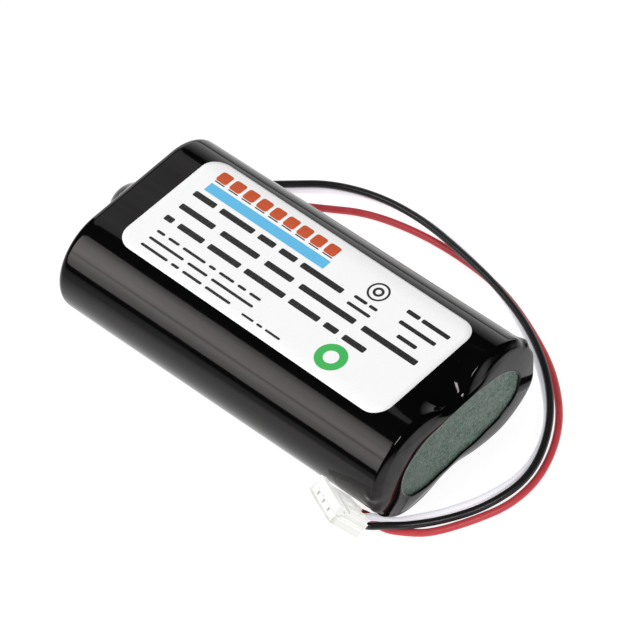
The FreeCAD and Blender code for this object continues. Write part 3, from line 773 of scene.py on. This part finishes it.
class Print:
    """One ink of the label's print: closed flat shapes joined in one piece."""

    def __init__(self, name):
        self.name = name
        self.points = []
        self.faces = []

    def add(self, points, faces):
        """Adds one shape to the piece."""
        base = len(self.points)
        self.points += points
        self.faces += [tuple(base + k for k in face) for face in faces]

    def bar(self, u0, u1, v, high, corner=0.25):
        """A round-cornered bar from u0 to u1, centred on v."""
        half_u = (u1 - u0) / 2
        middle = (u0 + u1) / 2
        # a little under the half height, so that the rounds at the ends never meet
        corner = min(corner, high / 2, half_u) * 0.98
        rim = [(middle + u, v + w)
               for u, w in rounded_rectangle(half_u, high / 2, corner, BAR_CORNER_STEPS)]
        self.add(*sheet_on_label(fill_edges(rim, BAR_STRETCH), (middle, v), LABEL_THICK - INK_SINK,
                                 LABEL_THICK + INK, BAR_RINGS))

    def ring(self, u, v, inner, outer):
        """A flat ring round (u, v)."""
        bottom = LABEL_THICK - INK_SINK
        top = LABEL_THICK + INK
        rows = []
        for k in range(RING_STEPS):
            angle = math.tau * k / RING_STEPS
            for radius, lift in ((inner, bottom), (inner, top), (outer, top), (outer, bottom)):
                rows.append(on_label(u + radius * math.cos(angle), v + radius * math.sin(angle), lift))
        faces = []
        for k in range(RING_STEPS):
            here = k * 4
            there = (k + 1) % RING_STEPS * 4
            for side in range(4):
                after = (side + 1) % 4
                faces.append((here + side, here + after, there + after, there + side))
        self.add(rows, faces)

    def words(self, u0, u1, v, high, lengths, gap):
        """A row of plain bars of unlike lengths, scaled to run from u0 to u1."""
        total = sum(lengths) + gap * (len(lengths) - 1)
        scale = (u1 - u0) / total
        at = u0
        for length in lengths:
            self.bar(at, at + length * scale, v, high)
            at += (length + gap) * scale

    def build(self, material):
        """Makes the piece from its shapes."""
        mesh = mesh_of(self.name, self.points, self.faces, smooth=False)
        mesh.materials.append(material)
        new_piece(self.name, mesh, "label_paper")


BLOCKS = 9                        # the row of coloured blocks
BLOCK_START = -24.9
BLOCK_STEP = 2.95
BLOCK_LONG = 2.35


def build_print():
    """Plain bars and rings in place of the label's words and marks."""
    black = ink_material("ink_black", 0.018, 0.017, 0.017)
    orange = ink_material("ink_orange", 0.58, 0.085, 0.020)
    blue = ink_material("ink_blue", 0.115, 0.50, 0.80)
    green = ink_material("ink_green", 0.05, 0.48, 0.10)

    # each row runs from u to u, at v, with the bars' height, their lengths and the gap between them
    bold = Print("print_bold_bars")
    bold.words(-25.4, 7.0, 3.5, 1.15, (3.0, 4.6, 2.2, 2.2, 5.6), 0.75)
    bold.words(-25.2, 25.7, 0.1, 1.15, (4.6, 5.0, 3.6, 7.2, 7.0), 1.0)
    bold.words(-25.4, 17.9, -3.2, 1.15, (1.3, 4.0, 5.0, 6.2, 4.6, 2.0, 3.4), 0.9)
    bold.build(black)

    small = Print("print_small_bars")
    small.words(-24.3, -1.6, -6.2, 0.52, (1.6, 2.2, 4.6, 1.3, 3.0, 1.6, 2.2), 0.8)
    small.words(-24.3, -1.6, -8.0, 0.52, (6.4, 3.6, 7.6), 0.8)
    small.words(-24.4, -4.8, -9.8, 0.52, (5.4, 1.5, 3.8, 5.0), 0.8)
    small.words(-2.0, 6.2, -10.1, 0.42, (2.6, 1.2, 3.2), 0.7)
    small.words(9.0, 13.8, 4.1, 0.6, (2.6, 1.6), 0.5)
    small.words(9.0, 13.8, 2.4, 0.6, (4.8,), 0.7)
    small.words(17.4, 26.2, 7.2, 0.8, (2.6, 5.6), 0.5)
    small.words(17.9, 25.4, 4.8, 0.75, (7.5,), 0.7)
    small.words(19.6, 23.6, 2.4, 0.75, (4.0,), 0.7)
    small.build(black)

    band = Print("print_band")
    band.bar(-24.7, 1.4, 5.9, 1.9, 0.1)
    band.build(blue)

    blocks = Print("print_gauge")
    underlines = Print("print_gauge_frame")
    for k in range(BLOCKS):
        start = BLOCK_START + k * BLOCK_STEP
        blocks.bar(start, start + BLOCK_LONG, 8.9, 2.3, 0.5)
        underlines.bar(start + 0.25, start + BLOCK_LONG, 7.5, 0.22, 0.1)
    blocks.build(orange)
    underlines.build(black)

    rings = Print("print_rings")
    rings.ring(11.4, 7.1, 1.55, 1.9)
    rings.ring(11.4, 7.1, 0.5, 0.95)
    rings.build(black)

    green_ring = Print("print_green_ring")
    green_ring.ring(14.7, -7.5, 1.3, 2.7)
    green_ring.build(green)


# -------- wires
WIRE_D = 1.25
ROUTES = {                        # from under the film, round the pack and into the plug
    "wire_black": [
        (-33.3, 1.1, 12.6), (-36.2, 1.1, 12.6), (-36.6, 1.3, 9.8), (-37.1, 4.0, 7.9),
        (-37.7, 8.2, 6.2), (-37.2, 12.8, 4.6), (-34.8, 17.0, 3.3), (-30.9, 21.3, 2.4),
        (-25.4, 26.6, 1.95), (-20.2, 31.0, 1.95), (-12.1, 34.0, 1.95), (-2.8, 34.4, 2.3),
        (7.1, 32.5, 3.2), (17.3, 30.3, 3.4), (27.0, 26.7, 3.3), (35.2, 21.4, 2.4),
        (41.6, 13.9, 1.95), (45.2, 4.7, 1.9), (43.5, -3.7, 1.5), (39.9, -9.8, 1.1),
        (36.5, -14.9, 1.95), (34.0, -17.1, 2.15), (31.48, -19.09, 1.81), (30.61, -20.32, 3.74),
    ],
    "wire_white": [
        (-33.3, -0.5, 12.6), (-36.2, -0.5, 12.6), (-36.6, -0.4, 9.0), (-37.1, 3.0, 6.3),
        (-37.4, 8.2, 4.2), (-36.7, 13.2, 2.4), (-34.2, 17.8, 1.3), (-30.0, 21.9, 0.8),
        (-24.5, 27.0, 0.64), (-19.1, 31.3, 0.64), (-11.7, 34.6, 0.64), (-2.8, 35.3, 1.15),
        (6.7, 33.7, 2.1), (16.5, 31.0, 2.1), (25.7, 26.9, 1.95), (33.6, 21.8, 1.1),
        (40.3, 15.2, 0.64), (43.5, 6.1, 0.64), (41.9, -2.0, 0.64), (38.7, -8.4, 0.64),
        (35.9, -12.2, 0.64), (34.0, -14.9, 0.8), (31.9, -16.5, 2.2), (29.70, -18.22, 1.55),
        (28.83, -19.45, 3.49),
    ],
    "wire_red": [
        (-33.3, -2.1, 12.6), (-36.2, -2.1, 12.6), (-36.6, -2.0, 8.4), (-37.0, 1.8, 4.8),
        (-36.9, 7.4, 2.7), (-35.8, 12.8, 1.2), (-32.4, 17.4, 0.64), (-26.9, 21.7, 0.64),
        (-18.3, 26.9, 0.64), (-12.0, 30.8, 0.64), (-2.9, 32.9, 0.64), (6.1, 33.3, 0.64),
        (15.8, 32.3, 0.64), (25.1, 28.8, 0.64), (34.0, 24.0, 0.64), (41.5, 16.7, 0.64),
        (45.6, 7.6, 0.64), (45.8, -0.3, 0.64), (43.1, -6.9, 0.64), (39.9, -12.5, 0.64),
        (37.2, -14.8, 0.64), (33.4, -17.0, 0.64), (30.4, -16.2, 0.64), (27.91, -17.36, 1.30),
        (27.04, -18.59, 3.23),
    ],
}


def wire(node, material):
    """A wire's insulation along its route."""
    name = node + "_insulation"
    curve = bpy.data.curves.new(name, "CURVE")
    curve.dimensions = "3D"
    spline = curve.splines.new("NURBS")
    spline.points.add(len(ROUTES[node]) - 1)
    for point, place in zip(spline.points, ROUTES[node]):
        point.co = (*(Vector(place) * MM), 1.0)
    spline.order_u = 3
    spline.use_endpoint_u = True
    spline.resolution_u = 10
    curve.bevel_depth = WIRE_D / 2 * MM
    curve.bevel_resolution = 8
    curve.use_fill_caps = True
    curve.materials.append(material)
    return new_piece(name, curve, node)


def wire_looks():
    """Each wire's insulation."""
    return {
        "wire_black": wire_material("insulation_black", (0.006, 0.006, 0.007), (0.014, 0.014, 0.015),
                                    0.28, 0.45),
        "wire_white": wire_material("insulation_white", (0.88, 0.87, 0.95), (0.93, 0.92, 0.97),
                                    0.30, 0.45, 0.30),
        "wire_red": wire_material("insulation_red", (0.54, 0.036, 0.046), (0.64, 0.062, 0.074),
                                  0.32, 0.48),
    }


def build_wires(housing):
    """The three cords, each built along its route in place of its CAD wire."""
    nodes = frame["nodes"]
    plug_pieces = {
        "wire_black": [housing, nodes["terminal_black"], nodes["conductor_ends"]],
        "wire_white": [nodes["terminal_white"]],
        "wire_red": [nodes["terminal_red"]],
    }
    for node, material in wire_looks().items():
        piece = wire(node, material)
        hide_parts(node)
        exit_point = Vector(ROUTES[node][0]) * MM
        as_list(plug_pieces[node])


# -------- plug
PLUG_CORNER = Vector((26.35, -23.47, 7.23))  # the middle of the mating face's lower edge
PLUG_TURN = Euler((math.radians(-11.9), math.radians(52.1), math.radians(54.7)), "XYZ")
PITCH = 2.0
PLUG_LENGTH = 7.3
PLUG_HALF = 4.0
PLUG_TOP = 2.6
SKIRT_THICK = 0.4                 # how far the skirts stand out from the body
PLUG_STEP = 0.42                  # how far the roof's raised part stands over the rest
SLOT_HALF = 0.24                  # half the width of a slot in the mating face
LANCE = (3.2, 4.9)                # the windows over the contacts, along the plug


class Moulding:
    """Bevelled blocks in the plug's own axes: x back from the mating face, y across, z up."""

    def __init__(self):
        self.mesh = bmesh.new()

    def block(self, x0, x1, y0, y1, z0, z1, bevel=0.09, lean=0.0):
        """A block with rounded edges; lean draws its top in at both ends of y."""
        made = bmesh.ops.create_cube(self.mesh, size=1.0)["verts"]
        for vert in made:
            high = vert.co.z > 0
            y = y1 - lean * high if vert.co.y > 0 else y0 + lean * high
            vert.co = (x1 if vert.co.x > 0 else x0, y, z1 if high else z0)
        edges = list({edge for vert in made for edge in vert.link_edges})
        bmesh.ops.bevel(self.mesh, geom=edges, offset=bevel, segments=2, profile=0.6, affect="EDGES")

    def build(self, name, slot):
        """Places the blocks in the frame, as one piece."""
        turn = PLUG_TURN.to_matrix()
        for vert in self.mesh.verts:
            vert.co = (PLUG_CORNER + turn @ vert.co) * MM
        mesh = bpy.data.meshes.new(name)
        self.mesh.to_mesh(mesh)
        self.mesh.free()
        return new_piece(name, mesh, slot)


def slot_walls():
    """From and to, across the plug, of each wall between the mating face's three slots."""
    edges = [-PLUG_HALF]
    for way in (-1, 0, 1):
        edges += [way * PITCH - SLOT_HALF, way * PITCH + SLOT_HALF]
    edges.append(PLUG_HALF)
    return zip(edges[::2], edges[1::2])


def plug_front(plug, side):
    """The floor, the slotted mating face, the flange with sloped ends, and the step behind it."""
    plug.block(0.0, PLUG_LENGTH, -side, side, 0.0, 0.62)
    plug.block(0.0, 1.0, -PLUG_HALF, PLUG_HALF, 0.0, 0.55)
    plug.block(0.0, 1.0, -PLUG_HALF, PLUG_HALF, 1.42, PLUG_TOP - 0.55)
    for low, high in slot_walls():
        plug.block(0.0, 1.0, low, high, 0.1, 1.9, 0.05)
    plug.block(-0.45, 0.85, -PLUG_HALF + 0.02, PLUG_HALF - 0.02, 1.8, 3.25, 0.14, 0.12)
    plug.block(0.8, 1.9, -side, side, 1.2, 2.05, 0.06)


def plug_roof(plug, side):
    """The roof, stepped up towards the wires, with two ribs over each contact."""
    plug.block(0.5, PLUG_LENGTH, -side, side, 0.3, PLUG_TOP - 0.45, 0.07)
    plug.block(1.8, PLUG_LENGTH - 0.05, -side, side, 1.9, PLUG_TOP, 0.09)
    plug.block(2.6, PLUG_LENGTH - 0.5, -side + 0.02, 1.3, PLUG_TOP - 0.3, PLUG_TOP + PLUG_STEP, 0.1, 0.06)
    for way in (-1, 0, 1):
        y = way * PITCH
        low = PLUG_TOP - 0.1
        high = PLUG_TOP + (0.0 if way > 0 else PLUG_STEP)
        plug.block(*LANCE, y - 0.62, y + 0.42, low, high + 0.2, 0.07)
        plug.block(5.7, PLUG_LENGTH - 0.2, y - 0.5, y + 0.5, low, high + 0.14, 0.06)


def plug_skirts(plug, side):
    """The skirts along both sides, each with a step."""
    for way in (-1, 1):
        inner, outer = sorted((way * (side - 0.1), way * PLUG_HALF))
        plug.block(0.0, PLUG_LENGTH - 0.4, inner, outer, 0.0, 1.28, 0.1)
        inner, outer = sorted((way * (side - 0.1), way * (PLUG_HALF - 0.14)))
        plug.block(1.4, PLUG_LENGTH - 1.6, inner, outer, 1.1, 1.62, 0.07)


def build_plug(material):
    """The three-way housing, as one moulding."""
    plug = Moulding()
    side = PLUG_HALF - SKIRT_THICK
    plug_front(plug, side)
    plug_roof(plug, side)
    plug_skirts(plug, side)
    housing = plug.build("plug_moulding", "plug_nylon")
    housing.data.materials.append(material)
    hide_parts("plug_housing")
    return housing


# -------- stage, light, camera
AZIMUTH = math.radians(45.96)
ELEVATION = math.radians(49.61)
ROLL = math.radians(-4.92)
DISTANCE = 0.680
TARGET = Vector((0.0, 0.0, 0.010))
LENS = 240.37
SHIFT = (0.0420, 0.0021)
BRIGHT_FLOOR = (0.07, 0.30)                   # distances from the pack over which the floor falls off
SHADE_SIDE = (-0.695, -0.719, 0.0)            # the side that the near flank faces
SHADE_FLOOR = (0.048, 0.080)                  # distances to that side over which the floor falls off
FLOOR_HALF = 1600.0                           # this and the card's sizes are in mm
CARD_AWAY = Vector((-0.517, 0.856, 0.0))      # from the pack to the middle of the card behind it
CARD_SIDE = Vector((0.856, 0.517, 0.0))       # along the card
CARD_DISTANCE = 1250.0
CARD_HALF = 900.0
CARD_HIGH = 800.0


def build_camera():
    """A long lens, from above the near corner."""
    back = Vector((math.sin(AZIMUTH) * math.cos(ELEVATION), -math.cos(AZIMUTH) * math.cos(ELEVATION),
                   math.sin(ELEVATION)))
    right = Vector((math.cos(AZIMUTH), math.sin(AZIMUTH), 0.0))
    up = back.cross(right)
    rolled_right = right * math.cos(ROLL) + up * math.sin(ROLL)
    rolled_up = up * math.cos(ROLL) - right * math.sin(ROLL)
    data = bpy.data.cameras.new("camera")
    data.sensor_width = 36.0
    data.lens = LENS
    data.shift_x, data.shift_y = SHIFT
    data.clip_start = 0.01
    data.clip_end = 10.0
    camera = link_object("camera", data)
    place = Matrix((rolled_right, rolled_up, back)).transposed().to_4x4()
    place.translation = TARGET + back * DISTANCE
    camera.matrix_world = place
    bpy.context.scene.camera = camera


def area_light(name, direction_to, distance, width, height, power):
    """A softbox that faces the pack from direction_to."""
    data = bpy.data.lights.new(name, "AREA")
    data.shape = "RECTANGLE"
    data.size = width
    data.size_y = height
    data.energy = power
    light = link_object(name, data)
    back = Vector(direction_to).normalized()
    light.location = back * distance
    light.rotation_mode = "QUATERNION"
    light.rotation_quaternion = (-back).to_track_quat("-Z", "Y")
    return light


def fade_light(light, stops):
    """Makes a softbox brightest in the middle, from its lower edge at 0 to its upper edge at 1."""
    light.data.use_nodes = True
    tree = light.data.node_tree
    split = tree.nodes.new("ShaderNodeSeparateXYZ")
    tree.links.new(tree.nodes.new("ShaderNodeNewGeometry").outputs["Parametric"], split.inputs[0])
    ramp = tree.nodes.new("ShaderNodeValToRGB")
    tree.links.new(split.outputs["Y"], ramp.inputs["Fac"])
    set_stops(ramp, stops)
    tree.links.new(ramp.outputs["Color"], tree.nodes["Emission"].inputs["Strength"])


def stage_card(name, corners):
    """A flat four-cornered piece of the stage."""
    mesh = mesh_of(name, corners, [(0, 1, 2, 3)])
    card = link_object(name, mesh)
    return card


def build_backdrop():
    """A white card behind the pack, bright near the floor and dark towards its top."""
    middle = CARD_AWAY * CARD_DISTANCE
    corners = [middle - CARD_SIDE * CARD_HALF, middle + CARD_SIDE * CARD_HALF]
    corners += [corner + Vector((0, 0, CARD_HIGH)) for corner in reversed(corners)]
    card = stage_card("backdrop", corners)
    s = Shader("backdrop_card", (0.3, 0.3, 0.3), 0.8)
    share = s.map(s.axis("Z"), 0.0, CARD_HIGH * MM, 0.0, 1.0)
    s.set(Emission_Color=s.ramp(share, [(0.0, 1.0), (0.35, 0.62), (1.0, 0.0)]), Emission_Strength=1.6)
    card.data.materials.append(s.material)


def build_floor():
    """Pale paper, brightest near the pack and in shade on one side."""
    corners = [(-1, -1), (1, -1), (1, 1), (-1, 1)]
    floor = stage_card("floor", [(x * FLOOR_HALF, y * FLOOR_HALF, 0) for x, y in corners])
    s = Shader("floor_pale", (0.5, 0.5, 0.5), 0.7)
    near = s.map(s.vector_math("LENGTH", s.place), *BRIGHT_FLOOR, 1.0, 0.0)
    lit = s.map(s.vector_math("DOT_PRODUCT", s.place, SHADE_SIDE), *SHADE_FLOOR, 1.0, 0.25)
    near = s.math("MULTIPLY", near, lit)
    s.colour(s.mix(near, grey(0.05), s.mix(s.noise(30.0, 3.0), grey(0.29), grey(0.31))))
    s.set(Emission_Color=WHITE, Emission_Strength=s.math("MULTIPLY_ADD", near, 0.76, 0.08))
    floor.data.materials.append(s.material)


def build_world():
    """Even fill light, which glossy surfaces don't mirror."""
    world = bpy.data.worlds.new("studio")
    world.use_nodes = True
    sky = world.node_tree.nodes["Background"].inputs
    sky["Color"].default_value = WHITE
    sky["Strength"].default_value = 0.40
    world.cycles_visibility.glossy = False
    bpy.context.scene.world = world


def build_lights():
    """The large softbox that the near flank mirrors, a small one, and a card over the far end."""
    key = area_light("softbox_left", (-0.466, -0.672, 0.576), 1.10, 0.85, 1.08, 13.4)
    fade_light(key, [(0.0, 0.45), (0.3, 0.85), (0.58, 1.0), (0.78, 0.75), (1.0, 0.33)])
    area_light("softbox_right", (0.72, -0.10, 0.69), 1.10, 0.26, 0.26, 3.6)
    area_light("far_card", (-0.68, 0.47, 0.82), 1.16, 0.34, 0.40, 0.34)


def build_stage():
    """Everything round the pack, and how its brightness is shown."""
    build_floor()
    build_backdrop()
    build_world()
    build_lights()
    bpy.context.scene.view_settings.view_transform = "Standard"


# -------- everything
def dress_nodes(looks):
    """Gives each CAD node the material of its slot."""
    slots = {part["node"]: part["material_slot"] for part in frame["record"]["subparts"]}
    for node, obj in frame["nodes"].items():
        material = looks.get(slots[node])
        if material is None:
            continue
        obj.data.materials.clear()
        obj.data.materials.append(material)


def main():
    build_film()
    build_label()
    build_print()
    looks = node_materials()
    looks["plug_nylon"] = nylon_material()
    dress_nodes(looks)
    build_wires(build_plug(looks["plug_nylon"]))
    build_camera()
    build_stage()


main()
